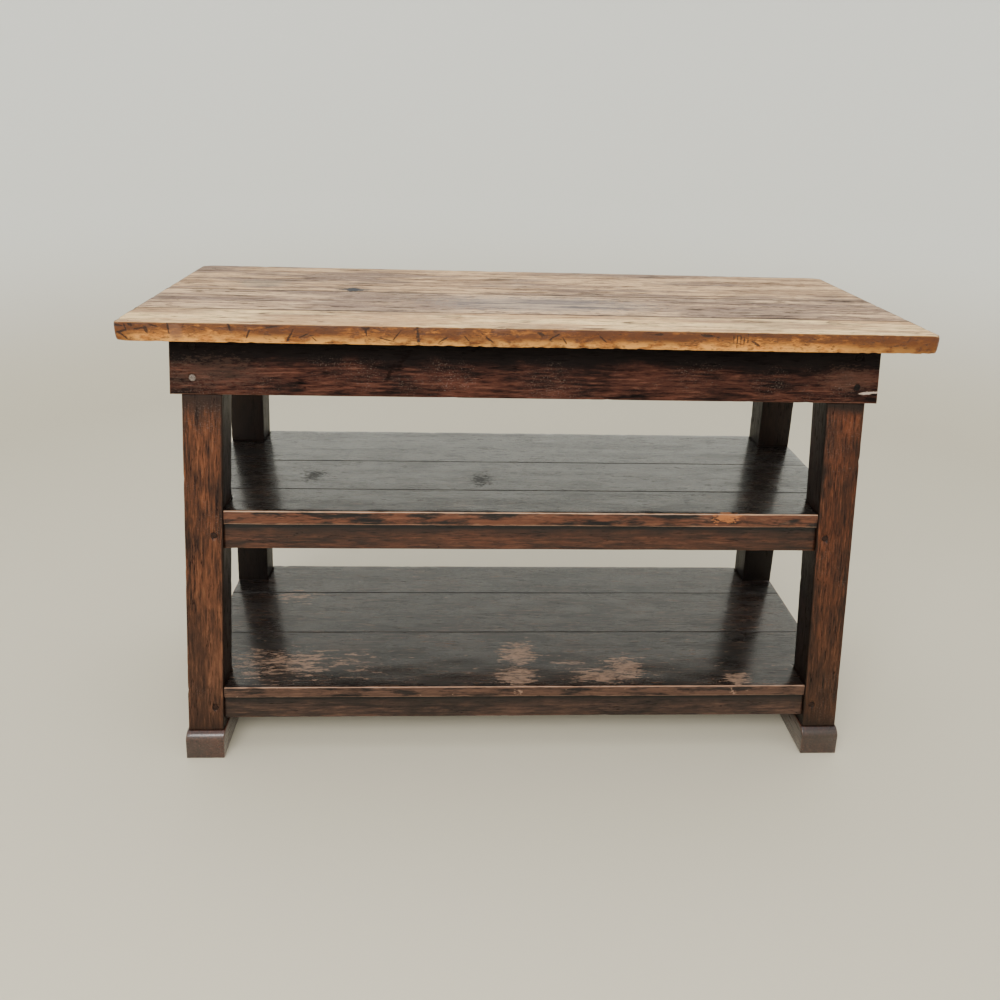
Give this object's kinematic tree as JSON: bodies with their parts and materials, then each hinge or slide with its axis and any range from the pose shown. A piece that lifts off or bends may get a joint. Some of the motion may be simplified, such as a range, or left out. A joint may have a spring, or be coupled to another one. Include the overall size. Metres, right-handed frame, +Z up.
{
  "type": "work table",
  "caption": "Standing plank-topped work table with raked square legs, two open plank shelves and sledge runner feet, in pegged and stained oak.",
  "frame": {"origin": "on the floor, under the middle of the table", "axes": "+X along the length of the worktop, +Y to the back, +Z up"},
  "size_m": [1.394, 0.548, 0.914],
  "materials": {
    "worn_oak_top": "scrubbed and worn oak, dry, grey-tan on top with honey brown edges and dark open grain",
    "dark_oak_aprons": "near-black red-brown stain, satin, worn redder along the lower half",
    "brown_oak_legs": "warm dark brown stain with darker blotches, satin, arrises worn paler",
    "brown_oak_rails": "dark brown stain, satin",
    "ebony_oak_shelves": "ebony-brown stain with a waxed satin sheen, rubbed through to tan in places",
    "dark_oak_runners": "dark red-brown stain, polished by wear on the rounded noses",
    "oak_pegs": "end-grain oak, stained",
    "raw_oak": "unfinished oak, hidden under the worktop",
    "steel_screws": "dull steel"
  },
  "bodies": {
    "root": {"top_plank_front": "worn_oak_top", "top_plank_middle": "worn_oak_top", "top_plank_rear": "worn_oak_top", "top_dowels": "raw_oak", "apron_dowels": "raw_oak", "top_batten_left": "raw_oak", "top_batten_centre": "raw_oak", "top_batten_right": "raw_oak", "top_screws": "steel_screws", "apron_front": "dark_oak_aprons", "apron_back": "dark_oak_aprons", "apron_left": "dark_oak_aprons", "apron_right": "dark_oak_aprons", "apron_front_pegs": "oak_pegs", "apron_back_pegs": "oak_pegs", "apron_end_pegs": "oak_pegs", "post_front_left": "brown_oak_legs", "post_front_right": "brown_oak_legs", "post_back_left": "brown_oak_legs", "post_back_right": "brown_oak_legs", "mid_rail_front": "brown_oak_rails", "mid_rail_back": "brown_oak_rails", "mid_rail_left": "brown_oak_rails", "mid_rail_right": "brown_oak_rails", "mid_rail_pegs": "oak_pegs", "low_rail_front": "brown_oak_rails", "low_rail_back": "brown_oak_rails", "low_rail_left": "brown_oak_rails", "low_rail_right": "brown_oak_rails", "low_rail_pegs": "oak_pegs", "mid_shelf_plank_front": "ebony_oak_shelves", "mid_shelf_plank_middle": "ebony_oak_shelves", "mid_shelf_plank_rear": "ebony_oak_shelves", "mid_shelf_batten_left": "brown_oak_rails", "mid_shelf_batten_right": "brown_oak_rails", "mid_shelf_screws": "steel_screws", "low_shelf_plank_front": "ebony_oak_shelves", "low_shelf_plank_middle": "ebony_oak_shelves", "low_shelf_plank_rear": "ebony_oak_shelves", "low_shelf_batten_left": "brown_oak_rails", "low_shelf_batten_right": "brown_oak_rails", "low_shelf_screws": "steel_screws", "runner_left": "dark_oak_runners", "runner_right": "dark_oak_runners", "runner_pegs": "oak_pegs"}
  },
  "joints": []
}
